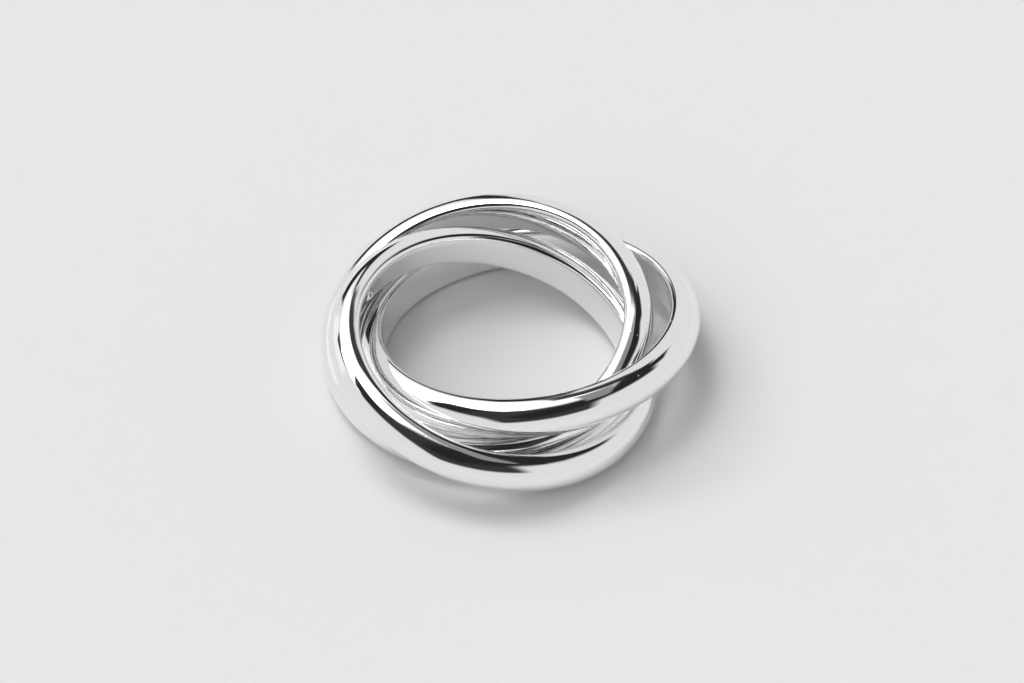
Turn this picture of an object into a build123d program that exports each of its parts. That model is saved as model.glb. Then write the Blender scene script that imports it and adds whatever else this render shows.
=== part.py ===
"""Rolling ring: three domed bands linked through each other, lying on a flat surface.

Millimetres, +Z up, +Y to the back. The origin is on the surface, under the middle of the ring.
"""
from build123d import *

import os
from dataclasses import dataclass
from math import asin, cos, hypot, radians, sin, sqrt

# Driving sizes
finger_bore = 18.0        # inner diameter of the two tighter bands
band_thickness = 1.8      # inner wall to the top of the dome
band_width = 2.7          # edge to edge, along the band's own axis
edge_radius = 0.35        # rounding of the inner wall's two edges, where the dome starts


@dataclass
class Lie:
    """How one band lies in the nest, mostly as shares of the sizes above."""

    slack: float          # extra inner radius, in thicknesses
    high_side: float      # compass angle of its highest side, in degrees from +X towards +Y
    rise: float           # climb of its mid-line from the centre to the high side, in widths
    right: float          # its centre to the right of the nest's middle, in thicknesses
    back: float           # its centre behind the nest's middle, in thicknesses


# The three bands lean away from each other, a third of a turn apart, so that each one
# goes over its neighbour on one side and under it on the other.
lies = {
    "band_back": Lie(slack=0.0, high_side=51, rise=0.79, right=-0.83, back=0.59),
    "band_left": Lie(slack=0.0, high_side=164, rise=0.86, right=-0.61, back=-0.85),
    "band_right": Lie(slack=0.19, high_side=299, rise=0.75, right=0.61, back=0.71),
}


def inner_radius(lie):
    """Radius of the band's inner wall."""
    return finger_bore / 2 + lie.slack * band_thickness


def axis_of(lie):
    """Unit vector along the band's own axis, leaned away from its high side."""
    lean = asin(lie.rise * band_width / (inner_radius(lie) + band_thickness / 2))
    side = radians(lie.high_side)
    return Vector(-sin(lean) * cos(side), -sin(lean) * sin(side), cos(lean))


def reach(lie, direction):
    """Distance from the band's centre to its furthest point in a direction, on the dome."""
    along = abs(axis_of(lie).dot(direction))
    across = sqrt(1 - along**2)
    dome = hypot((band_thickness - edge_radius) * across, band_width / 2 * along)
    return (inner_radius(lie) + edge_radius) * across + dome


def middle(offset_of, direction):
    """Middle of the whole nest in a direction, from the bands' offsets and reaches."""
    highs = [offset_of(lie) * band_thickness + reach(lie, direction) for lie in lies.values()]
    lows = [offset_of(lie) * band_thickness - reach(lie, direction) for lie in lies.values()]
    return (max(highs) + min(lows)) / 2


def centre_of(lie):
    """Centre of the band: the nest is centred over the origin and each band touches Z = 0."""
    x = lie.right * band_thickness - middle(lambda other: other.right, Vector(1, 0, 0))
    y = lie.back * band_thickness - middle(lambda other: other.back, Vector(0, 1, 0))
    return Vector(x, y, reach(lie, Vector(0, 0, 1)))


os.makedirs("parts", exist_ok=True)

for name, lie in lies.items():
    # The section stands on the band's axis: X points outwards and Y runs along the axis.
    axis = Axis(centre_of(lie), axis_of(lie))
    outwards = Vector(0, 1, 0).cross(axis.direction).normalized()
    section_plane = Plane(axis.position, x_dir=outwards, z_dir=outwards.cross(axis.direction))

    with BuildPart() as band:
        with BuildSketch(section_plane):
            with BuildLine():
                shoulder = inner_radius(lie) + edge_radius
                corner = band_width / 2 - edge_radius
                dome_height = band_thickness - edge_radius
                EllipticalCenterArc((shoulder, 0), dome_height, band_width / 2, -90, arc_size=180)
                upper_edge = CenterArc((shoulder, corner), edge_radius, 90, 90)
                lower_edge = CenterArc((shoulder, -corner), edge_radius, 180, 90)
                Line(upper_edge @ 1, lower_edge @ 0)
            make_face()
        revolve(axis=axis, revolution_arc=360)

    band.part.label = name
    export_step(band.part, f"parts/{name}.step")
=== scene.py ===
"""Rolling ring of three linked silver bands, lying on a pale table in a studio light tent.

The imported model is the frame: metres, +Z up, +Y to the back. Each band is made again with a finer
surface in the place of its solid, because polished metal shows every facet in its reflections.
"""

import logging
import math
from dataclasses import dataclass, field
from enum import Enum

import bmesh
import bpy
from mathutils import Matrix, Vector


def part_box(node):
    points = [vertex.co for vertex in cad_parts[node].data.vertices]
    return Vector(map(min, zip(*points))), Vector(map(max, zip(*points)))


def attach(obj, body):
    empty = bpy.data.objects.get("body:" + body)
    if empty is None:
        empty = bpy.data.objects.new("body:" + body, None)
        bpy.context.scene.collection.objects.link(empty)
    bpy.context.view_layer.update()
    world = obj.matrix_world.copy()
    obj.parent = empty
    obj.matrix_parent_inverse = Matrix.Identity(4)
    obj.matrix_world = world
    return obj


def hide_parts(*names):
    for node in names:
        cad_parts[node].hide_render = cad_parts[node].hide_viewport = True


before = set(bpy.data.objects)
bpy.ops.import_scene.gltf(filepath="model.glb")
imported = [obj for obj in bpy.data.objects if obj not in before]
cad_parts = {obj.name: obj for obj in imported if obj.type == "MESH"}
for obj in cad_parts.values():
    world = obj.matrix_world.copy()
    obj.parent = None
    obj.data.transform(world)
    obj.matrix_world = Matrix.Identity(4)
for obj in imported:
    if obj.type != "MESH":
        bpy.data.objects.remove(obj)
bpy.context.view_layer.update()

MM = 0.001
WELD = 0.0001 * MM        # points nearer to each other than this are one point
LOG = logging.getLogger("rolling_ring")


def linear(hex_colour: str) -> tuple[float, float, float, float]:
    """Turn an sRGB hex colour into linear light.

    Args:
        hex_colour: The colour as "#rrggbb".

    Returns:
        Linear red, green and blue, and an alpha of 1.
    """
    shares = [int(hex_colour[i:i + 2], 16) / 255 for i in (1, 3, 5)]
    red, green, blue = (s / 12.92 if s <= 0.04045 else ((s + 0.055) / 1.055) ** 2.4 for s in shares)
    return red, green, blue, 1.0


def add_node(
    tree: bpy.types.NodeTree, kind: str, inputs: dict | None = None, **settings: object,
) -> bpy.types.Node:
    """Add a shader node with its settings, values and links.

    Args:
        tree: The node tree that gets the node.
        kind: The node's class name.
        inputs: Socket name or number to a value, or to an output socket that is linked to it.
        **settings: Properties of the node itself.

    Returns:
        The new node.
    """
    node = tree.nodes.new(kind)
    for name, value in settings.items():
        setattr(node, name, value)
    for name, value in (inputs or {}).items():
        if isinstance(value, bpy.types.NodeSocket):
            tree.links.new(value, node.inputs[name])
        else:
            node.inputs[name].default_value = value
    return node


def bare_material(name: str) -> bpy.types.Material:
    """Make a material that has no nodes yet.

    Args:
        name: The material's name.

    Returns:
        The new material.
    """
    material = bpy.data.materials.new(name)
    material.use_nodes = True
    material.node_tree.nodes.clear()
    return material


def towards(azimuth: float, elevation: float) -> Vector:
    """Point a unit vector along a compass direction.

    Args:
        azimuth: Degrees from +X towards +Y.
        elevation: Degrees up from the floor.

    Returns:
        The unit vector.
    """
    turn, climb = math.radians(azimuth), math.radians(elevation)
    return Vector((math.cos(turn) * math.cos(climb), math.sin(turn) * math.cos(climb), math.sin(climb)))


@dataclass(frozen=True)
class Section:
    """The shape that is turned into a band: a flat inner wall, rounded edges and a domed outside."""

    thickness: float = 1.8 * MM
    width: float = 2.7 * MM
    edge_radius: float = 0.35 * MM
    dome_points: int = 40
    edge_points: int = 6
    wall_points: int = 4

    def outline(self, inner_radius: float) -> bmesh.types.BMesh:
        """Draw the section as a closed loop of edges.

        Args:
            inner_radius: Distance of the inner wall from the band's axis.

        Returns:
            A mesh of edges alone, with X outwards from the axis and Z along it.
        """
        bm = bmesh.new()
        bmesh.ops.create_circle(bm, cap_ends=True, segments=2 * self.dome_points, radius=1.0)
        bmesh.ops.rotate(bm, verts=bm.verts, matrix=Matrix.Rotation(math.pi / 2, 3, "X"))
        bmesh.ops.scale(bm, verts=bm.verts, vec=(self.thickness - self.edge_radius, 1, self.width / 2))
        bmesh.ops.translate(bm, verts=bm.verts, vec=(inner_radius + self.edge_radius, 0, 0))
        cut = bmesh.ops.bisect_plane(
            bm, geom=bm.verts[:] + bm.edges[:] + bm.faces[:], dist=WELD,
            plane_co=(inner_radius + self.edge_radius, 0, 0), plane_no=(1, 0, 0), clear_inner=True,
        )
        chord = [e for e in cut["geom_cut"] if isinstance(e, bmesh.types.BMEdge)]
        inward = bmesh.ops.extrude_edge_only(bm, edges=chord)
        corners = [v for v in inward["geom"] if isinstance(v, bmesh.types.BMVert)]
        bmesh.ops.translate(bm, verts=corners, vec=(-self.edge_radius, 0, 0))
        bmesh.ops.bevel(
            bm, geom=corners, offset=self.edge_radius, offset_type="OFFSET", segments=self.edge_points,
            profile=0.5, affect="VERTICES", material=-1,
        )
        bmesh.ops.remove_doubles(bm, verts=bm.verts, dist=WELD)
        bmesh.ops.dissolve_faces(bm, faces=bm.faces, use_verts=False)
        bmesh.ops.delete(bm, geom=bm.faces, context="FACES_ONLY")
        wall = [e for e in bm.edges if all(abs(v.co.x - inner_radius) < WELD for v in e.verts)]
        bmesh.ops.subdivide_edges(bm, edges=wall, cuts=self.wall_points)
        return bm


@dataclass(frozen=True)
class Band:
    """One closed band and how it lies in the nest, in shares of the section's own sizes."""

    node: str
    slack: float
    high_side: float
    rise: float
    right: float
    back: float
    finger_bore: float = 18.0 * MM
    section: Section = field(default_factory=Section)
    steps_around: int = 400

    @property
    def inner_radius(self) -> float:
        """Radius of the inner wall."""
        return self.finger_bore / 2 + self.slack * self.section.thickness

    @property
    def axis(self) -> Vector:
        """Unit vector along the band's own axis, leaned away from its high side."""
        climb = self.rise * self.section.width / (self.inner_radius + self.section.thickness / 2)
        return towards(self.high_side + 180, math.degrees(math.acos(climb)))

    def reach(self, direction: Vector) -> float:
        """Measure from the band's centre to its furthest point in a direction.

        Args:
            direction: A unit vector.

        Returns:
            The distance along the direction, which ends on the dome.
        """
        along = abs(self.axis.dot(direction))
        across = math.sqrt(1 - along**2)
        dome_height = self.section.thickness - self.section.edge_radius
        dome = math.hypot(dome_height * across, self.section.width / 2 * along)
        return (self.inner_radius + self.section.edge_radius) * across + dome

    def place(self, centre: Vector) -> Matrix:
        """Find the matrix that takes the upright band to where it lies.

        Args:
            centre: The band's centre in the frame.

        Returns:
            The matrix, which keeps the band's own X as near to +X as its lean allows.
        """
        across = Vector((0, 1, 0)).cross(self.axis).normalized()
        turn = Matrix((across, self.axis.cross(across), self.axis)).transposed()
        return Matrix.Translation(centre) @ turn.to_4x4()

    def build(self, centre: Vector) -> bpy.types.Object:
        """Turn the section into the band and lay it in its place.

        Args:
            centre: The band's centre in the frame.

        Returns:
            The finished object, at the origin, with its place in its mesh.
        """
        bm = self.section.outline(self.inner_radius)
        bmesh.ops.spin(
            bm, geom=bm.verts[:] + bm.edges[:], cent=(0, 0, 0), axis=(0, 0, 1),
            angle=2 * math.pi, steps=self.steps_around, use_merge=True,
        )
        bmesh.ops.remove_doubles(bm, verts=bm.verts, dist=WELD)
        bmesh.ops.recalc_face_normals(bm, faces=bm.faces)
        bmesh.ops.transform(bm, matrix=self.place(centre), verts=bm.verts)
        for face in bm.faces:
            face.smooth = True
        mesh = bpy.data.meshes.new(self.node + "_polished")
        bm.to_mesh(mesh)
        bm.free()
        piece = bpy.data.objects.new(self.node + "_polished", mesh)
        bpy.context.scene.collection.objects.link(piece)
        return piece


@dataclass(frozen=True)
class PolishedSilver:
    """Sterling silver, cast, filed round and buffed with felt and rouge.

    It is a near mirror that shows the studio sharply. Filing by hand leaves it slightly uneven, so
    straight edges bend a little in it. The felt leaves faint lines around the band, the mandrel
    leaves soft streaks on the inner wall, and wear leaves small nicks that glint and dulls the
    flanks, where the bands rub each other. The felt's real lines are a hundredth of a millimetre
    apart, too fine to show, so they are drawn six times as coarse.
    """

    colour: str = "#f6f6f6"
    roughness: float = 0.045
    line_roughness: float = 0.07
    line_pitch: float = 0.06 * MM
    line_fades: int = 10
    line_faintest: float = 0.35
    line_strongest: float = 0.75
    line_detail: float = 2.0
    line_falloff: float = 0.5
    rubbed_roughness: float = 0.09
    rubbed_from: float = 0.65
    wave_length: float = 2.6 * MM
    wave_height: float = 0.02 * MM
    wave_detail: float = 1.0
    wave_falloff: float = 0.4
    streak_pitch: float = 0.45 * MM
    streak_fades: int = 5
    streak_depth: float = 0.005 * MM
    nick_spacing: float = 0.7 * MM
    nick_size: float = 0.11 * MM
    nick_depth: float = 0.012 * MM
    nick_share: float = 0.5

    def material(self, name: str, band: Band, centre: Vector) -> bpy.types.Material:
        """Make the finish for one band, with its patterns centred on the band's own axis.

        Args:
            name: The material's name.
            band: The band that wears it.
            centre: The band's centre in the frame.

        Returns:
            The new material.
        """
        material = bare_material(name)
        tree = material.node_tree
        where = add_node(tree, "ShaderNodeTexCoord").outputs["Object"]
        place = band.place(centre)
        upright = add_node(tree, "ShaderNodeMapping", {
            "Vector": where, "Location": place.translation, "Rotation": place.to_euler(),
        }, vector_type="TEXTURE").outputs["Vector"]
        around = self._around(tree, upright)
        shader = add_node(tree, "ShaderNodeBsdfPrincipled", {
            "Base Color": linear(self.colour), "Metallic": 1.0,
            "Roughness": self._sheen(tree, band, around),
            "Normal": self._relief(tree, band, upright, around),
        })
        add_node(tree, "ShaderNodeOutputMaterial", {"Surface": shader.outputs["BSDF"]})
        return material

    def _around(
        self, tree: bpy.types.NodeTree, upright: bpy.types.NodeSocket,
    ) -> tuple[bpy.types.NodeSocket, ...]:
        """Split a place on the band into what runs around it and what runs across it.

        Args:
            tree: The material's node tree.
            upright: The place, in the upright band's own frame.

        Returns:
            Distance from the axis, direction out from the axis and height along it.
        """
        x, y, along = add_node(tree, "ShaderNodeSeparateXYZ", {"Vector": upright}).outputs
        flat = add_node(tree, "ShaderNodeCombineXYZ", {"X": x, "Y": y}).outputs["Vector"]
        radius = add_node(tree, "ShaderNodeVectorMath", {0: flat}, operation="LENGTH").outputs["Value"]
        outward = add_node(tree, "ShaderNodeVectorMath", {0: flat}, operation="NORMALIZE").outputs["Vector"]
        return radius, outward, along

    def _lines(
        self, tree: bpy.types.NodeTree, around: tuple[bpy.types.NodeSocket, ...], pitch: float, fades: float,
    ) -> bpy.types.NodeSocket:
        """Draw lines that run around the band, from noise that hardly changes along them.

        Args:
            tree: The material's node tree.
            around: Distance from the axis, direction out from the axis and height along it.
            pitch: Distance from line to line.
            fades: How often a line fades and comes back in one turn of the band.

        Returns:
            The lines' strength, from 0 to 1.
        """
        radius, outward, along = around
        circle = add_node(tree, "ShaderNodeVectorMath", {
            0: outward, "Scale": fades * pitch / math.tau,
        }, operation="SCALE").outputs["Vector"]
        east, north, _ = add_node(tree, "ShaderNodeSeparateXYZ", {"Vector": circle}).outputs
        profile = add_node(tree, "ShaderNodeCombineXYZ", {"X": radius, "Y": along, "Z": east})
        return add_node(tree, "ShaderNodeTexNoise", {
            "Vector": profile.outputs["Vector"], "W": north, "Scale": 1 / pitch,
            "Detail": self.line_detail, "Roughness": self.line_falloff,
        }, noise_dimensions="4D").outputs["Fac"]

    def _sheen(
        self, tree: bpy.types.NodeTree, band: Band, around: tuple[bpy.types.NodeSocket, ...],
    ) -> bpy.types.NodeSocket:
        """Make the roughness over the band: the felt's lines, and the rubbed flanks of the dome.

        Args:
            tree: The material's node tree.
            band: The band that wears the finish.
            around: Distance from the axis, direction out from the axis and height along it.

        Returns:
            The roughness.
        """
        half_width = band.section.width / 2
        lines = self._lines(tree, around, self.line_pitch, self.line_fades)
        sheen = add_node(tree, "ShaderNodeMapRange", {
            "Value": lines, "From Min": self.line_faintest, "From Max": self.line_strongest,
            "To Min": self.roughness, "To Max": self.line_roughness,
        }).outputs["Result"]
        aside = add_node(tree, "ShaderNodeMath", {0: around[2]}, operation="ABSOLUTE").outputs["Value"]
        rubbed = add_node(tree, "ShaderNodeMapRange", {
            "Value": aside, "From Min": self.rubbed_from * half_width, "From Max": half_width,
            "To Min": 0.0, "To Max": self.rubbed_roughness - self.roughness,
        }).outputs["Result"]
        return add_node(tree, "ShaderNodeMath", {
            0: rubbed, 1: lines, 2: sheen,
        }, operation="MULTIPLY_ADD").outputs["Value"]

    def _relief(
        self, tree: bpy.types.NodeTree, band: Band, upright: bpy.types.NodeSocket,
        around: tuple[bpy.types.NodeSocket, ...],
    ) -> bpy.types.NodeSocket:
        """Bend the surface normal by the filed waves, the inner wall's streaks and the nicks.

        Args:
            tree: The material's node tree.
            band: The band that wears the finish.
            upright: The place, in the upright band's own frame.
            around: Distance from the axis, direction out from the axis and height along it.

        Returns:
            The normal.
        """
        inner_radius = band.inner_radius
        waves = add_node(tree, "ShaderNodeTexNoise", {
            "Vector": upright, "Scale": 1 / self.wave_length,
            "Detail": self.wave_detail, "Roughness": self.wave_falloff,
        }).outputs["Fac"]
        inside = add_node(tree, "ShaderNodeMapRange", {
            "Value": around[0], "From Min": inner_radius, "From Max": inner_radius + band.section.edge_radius,
            "To Min": 1.0, "To Max": 0.0,
        }).outputs["Result"]
        lines = self._lines(tree, around, self.streak_pitch, self.streak_fades)
        streaks = add_node(tree, "ShaderNodeMath", {
            0: lines, 1: inside,
        }, operation="MULTIPLY").outputs["Value"]
        cells = add_node(tree, "ShaderNodeTexVoronoi", {"Vector": upright, "Scale": 1 / self.nick_spacing})
        pit = add_node(tree, "ShaderNodeMapRange", {
            "Value": cells.outputs["Distance"],
            "From Min": 0.0, "From Max": self.nick_size / 2 / self.nick_spacing,
            "To Min": 1.0, "To Max": 0.0,
        }, interpolation_type="SMOOTHSTEP").outputs["Result"]
        luck = add_node(tree, "ShaderNodeSeparateColor", {"Color": cells.outputs["Color"]}).outputs["Red"]
        struck = add_node(tree, "ShaderNodeMath", {0: luck, 1: self.nick_share}, operation="LESS_THAN")
        nicks = add_node(tree, "ShaderNodeMath", {
            0: pit, 1: struck.outputs["Value"],
        }, operation="MULTIPLY").outputs["Value"]
        height = 0.0
        layers = ((waves, self.wave_height), (streaks, self.streak_depth), (nicks, -self.nick_depth))
        for share, size in layers:
            height = add_node(tree, "ShaderNodeMath", {
                0: share, 1: size, 2: height,
            }, operation="MULTIPLY_ADD").outputs["Value"]
        # The heights are in metres, so the bump takes them as they are.
        return add_node(tree, "ShaderNodeBump", {"Height": height, "Distance": 1.0}).outputs["Normal"]


class Nest:
    """The three bands, linked through each other, leaned a third of a turn apart."""

    BANDS = (
        Band("band_back", slack=0.0, high_side=51, rise=0.79, right=-0.83, back=0.59),
        Band("band_left", slack=0.0, high_side=164, rise=0.86, right=-0.61, back=-0.85),
        Band("band_right", slack=0.19, high_side=299, rise=0.75, right=0.61, back=0.71),
    )

    def offset(self, band: Band) -> Vector:
        """Place the band's centre on the floor's plane, from the nest's middle."""
        return Vector((band.right, band.back, 0)) * band.section.thickness

    def middle(self, direction: Vector) -> float:
        """Find the middle of the whole nest in a direction, before it is centred over the origin.

        Args:
            direction: A unit vector.

        Returns:
            How far along the direction the middle is.
        """
        highs = [self.offset(band).dot(direction) + band.reach(direction) for band in self.BANDS]
        lows = [self.offset(band).dot(direction) - band.reach(direction) for band in self.BANDS]
        return (max(highs) + min(lows)) / 2

    def centre(self, band: Band) -> Vector:
        """Find the band's centre in the frame, with the band touching the floor.

        Args:
            band: One of the nest's bands.

        Returns:
            The centre.
        """
        shift = Vector((self.middle(Vector((1, 0, 0))), self.middle(Vector((0, 1, 0))), 0))
        return self.offset(band) - shift + Vector((0, 0, band.reach(Vector((0, 0, 1)))))

    def build(self, silver: PolishedSilver) -> None:
        """Make each band, dress it and let it ride on its body.

        Args:
            silver: The finish of all the bands.
        """
        for band in self.BANDS:
            centre = self.centre(band)
            piece = band.build(centre)
            piece.data.materials.append(silver.material(piece.name, band, centre))
            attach(piece, band.node)
            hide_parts(band.node)
            low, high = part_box(band.node)
            LOG.info("%s: %d faces, %.3f mm from its solid's centre", piece.name, len(piece.data.polygons),
                     (centre - (low + high) / 2).length / MM)


class Tone(Enum):
    """How bright a card or wall of the light tent is, as light that reaches the metal."""

    BLACK = 0.02
    DARK = 0.04
    DIM = 0.27
    PALE = 0.78
    BRIGHT = 0.95
    WHITE = 1.2
    LAMP = 7.5


@dataclass(frozen=True)
class Card:
    """A flat card far from the ring, seen as a rectangle in the metal.

    Azimuth and elevation point to its middle, width and height are its angles, and roll turns it.
    """

    tone: Tone
    azimuth: float
    elevation: float
    width: float
    height: float
    roll: float = 0.0
    softness: float = 0.03

    def paint(
        self, tree: bpy.types.NodeTree, ray: bpy.types.NodeSocket, behind: float | bpy.types.NodeSocket,
    ) -> bpy.types.NodeSocket:
        """Lay the card over what is behind it.

        Args:
            tree: The world's node tree.
            ray: The direction that is looked at.
            behind: The brightness so far, a number or an output socket.

        Returns:
            The brightness with the card in front.
        """
        facing = towards(self.azimuth, self.elevation)
        level = Vector((0, 0, 1)).cross(facing).normalized()
        upright = facing.cross(level)
        spin = Matrix.Rotation(math.radians(self.roll), 3, facing)
        masks = []
        ahead = add_node(tree, "ShaderNodeVectorMath", {
            0: ray, 1: facing,
        }, operation="DOT_PRODUCT").outputs["Value"]
        for side, angle in ((level, self.width), (upright, self.height)):
            sideways = add_node(tree, "ShaderNodeVectorMath", {
                0: ray, 1: spin @ side,
            }, operation="DOT_PRODUCT").outputs["Value"]
            slope = add_node(tree, "ShaderNodeMath", {0: sideways, 1: ahead}, operation="DIVIDE")
            size = add_node(tree, "ShaderNodeMath", {0: slope.outputs["Value"]}, operation="ABSOLUTE")
            edge = math.tan(math.radians(angle / 2))
            masks.append(add_node(tree, "ShaderNodeMapRange", {
                "Value": size.outputs["Value"],
                "From Min": edge - self.softness, "From Max": edge + self.softness,
                "To Min": 1.0, "To Max": 0.0,
            }, interpolation_type="SMOOTHSTEP").outputs["Result"])
        front = add_node(tree, "ShaderNodeMath", {
            0: ahead, 1: 0.0,
        }, operation="GREATER_THAN").outputs["Value"]
        for mask in masks:
            front = add_node(tree, "ShaderNodeMath", {
                0: front, 1: mask,
            }, operation="MULTIPLY").outputs["Value"]
        return add_node(tree, "ShaderNodeMix", {
            "Factor": front, "A": behind, "B": self.tone.value,
        }).outputs["Result"]


@dataclass(frozen=True)
class MattPaper:
    """Uncoated pale grey paper, rolled smooth, which takes soft shadows and shows no gloss."""

    colour: str = "#d0d0d0"
    roughness: float = 0.9
    specular_level: float = 0.0

    def material(self, name: str) -> bpy.types.Material:
        """Make the finish.

        Args:
            name: The material's name.

        Returns:
            The new material.
        """
        material = bare_material(name)
        tree = material.node_tree
        shader = add_node(tree, "ShaderNodeBsdfPrincipled", {
            "Base Color": linear(self.colour), "Roughness": self.roughness,
            "Specular IOR Level": self.specular_level,
        })
        add_node(tree, "ShaderNodeOutputMaterial", {"Surface": shader.outputs["BSDF"]})
        return material


@dataclass(frozen=True)
class Studio:
    """The pale table, the light tent around it and the camera.

    The tent is pale all round and at its foot. A softbox with a strong lamp in it stands behind the
    ring to the left, cut off by black flags. Dark cards hang in front and overhead, where the camera
    looks in. Each card in the list covers the ones before it. A weak fill light lifts the shadows.
    """

    paper: MattPaper = field(default_factory=MattPaper)
    table_size: float = 3.0
    fill_azimuth: float = 235
    fill_elevation: float = 50
    fill_spread: float = 60
    fill_strength: float = 1.34
    view_elevation: float = 44.43
    view_distance: float = 700 * MM
    view_target: tuple[float, float, float] = (0.105 * MM, 0.538 * MM, 3.0 * MM)
    image_width: int = 1024
    pixels_per_mm: float = 15.542
    sensor_width: float = 36.0
    cards: tuple[Card, ...] = (
        # Behind: the softbox and its lamp, their bright foot and the flag below them.
        Card(Tone.BRIGHT, azimuth=150, elevation=5, width=34, height=40, softness=0.05),
        Card(Tone.BRIGHT, azimuth=107, elevation=18, width=28, height=56, softness=0.05),
        Card(Tone.BLACK, azimuth=163, elevation=37, width=44, height=12, roll=30, softness=0.02),
        Card(Tone.WHITE, azimuth=123, elevation=60, width=38, height=60, roll=16, softness=0.02),
        Card(Tone.LAMP, azimuth=158, elevation=58, width=28, height=46, roll=16, softness=0.05),
        # To the right of the softbox: a dark panel with a pale foot, and the gaps beside it.
        Card(Tone.DARK, azimuth=78, elevation=31, width=38, height=60, roll=17, softness=0.02),
        Card(Tone.PALE, azimuth=72, elevation=14, width=48, height=68, roll=-16, softness=0.02),
        Card(Tone.BLACK, azimuth=99, elevation=24, width=6, height=34, softness=0.01),
        Card(Tone.BLACK, azimuth=110, elevation=15, width=28, height=17, softness=0.03),
        # In front and overhead.
        Card(Tone.BLACK, azimuth=227, elevation=55, width=78, height=32, roll=-12, softness=0.1),
        Card(Tone.DARK, azimuth=268, elevation=55, width=64, height=62, roll=20, softness=0.12),
        Card(Tone.BLACK, azimuth=323, elevation=68, width=84, height=27, softness=0.1),
        # High on the right.
        Card(Tone.BLACK, azimuth=31, elevation=60, width=46, height=12, roll=-12, softness=0.02),
        Card(Tone.BLACK, azimuth=43, elevation=51, width=14, height=24, softness=0.04),
        Card(Tone.DIM, azimuth=28, elevation=72, width=34, height=12, softness=0.02),
    )

    def build_table(self) -> None:
        """Lay a matt, pale table top under the ring."""
        bm = bmesh.new()
        bmesh.ops.create_grid(bm, x_segments=1, y_segments=1, size=self.table_size / 2)
        mesh = bpy.data.meshes.new("table_top")
        bm.to_mesh(mesh)
        bm.free()
        table = bpy.data.objects.new("table_top", mesh)
        bpy.context.scene.collection.objects.link(table)
        mesh.materials.append(self.paper.material("matt_paper"))
        LOG.info("table top: %.1f m wide", self.table_size)

    def build_tent(self) -> None:
        """Surround the table with the tent's pale walls and its cards."""
        world = bpy.data.worlds.new("light_tent")
        world.use_nodes = True
        tree = world.node_tree
        tree.nodes.clear()
        ray = add_node(tree, "ShaderNodeTexCoord").outputs["Generated"]
        brightness = Tone.PALE.value
        for card in self.cards:
            brightness = card.paint(tree, ray, brightness)
        light = add_node(tree, "ShaderNodeBackground", {"Color": (1, 1, 1, 1), "Strength": brightness})
        add_node(tree, "ShaderNodeOutputWorld", {"Surface": light.outputs["Background"]})
        bpy.context.scene.world = world
        LOG.info("light tent: %d cards", len(self.cards))

    def build_fill(self) -> None:
        """Lift the table's shadows with a wide, weak light from the front left.

        The metal doesn't mirror it, so that the dark cards in front stay dark in the bands.
        """
        light = bpy.data.lights.new("fill", "SUN")
        light.energy = self.fill_strength
        light.angle = math.radians(self.fill_spread)
        facing = towards(self.fill_azimuth, self.fill_elevation)
        stand = bpy.data.objects.new("fill", light)
        stand.rotation_euler = facing.to_track_quat("Z", "Y").to_euler()
        stand.visible_glossy = False
        bpy.context.scene.collection.objects.link(stand)
        LOG.info("fill light: %.0f degrees wide", self.fill_spread)

    def build_camera(self) -> None:
        """Set the camera where the photographer's stood."""
        camera = bpy.data.cameras.new("camera")
        camera.sensor_width = self.sensor_width
        camera.lens = self.pixels_per_mm / MM * self.view_distance * self.sensor_width / self.image_width
        away = towards(-90, self.view_elevation)
        stand = bpy.data.objects.new("camera", camera)
        stand.location = Vector(self.view_target) + away * self.view_distance
        stand.rotation_euler = away.to_track_quat("Z", "Y").to_euler()
        bpy.context.scene.collection.objects.link(stand)
        bpy.context.scene.camera = stand
        LOG.info("camera: %.0f mm lens, %.1f degrees above the table", camera.lens, self.view_elevation)

    def build(self) -> None:
        """Set up the table, the light and the camera."""
        self.build_table()
        self.build_tent()
        self.build_fill()
        self.build_camera()
        bpy.context.scene.view_settings.view_transform = "Standard"


def main() -> None:
    """Build the ring and the studio around it, and log each band's face count and its offset from its solid.
    """
    logging.basicConfig(level=logging.INFO, format="%(name)s: %(message)s")
    Nest().build(PolishedSilver())
    Studio().build()


if __name__ == "__main__":
    main()
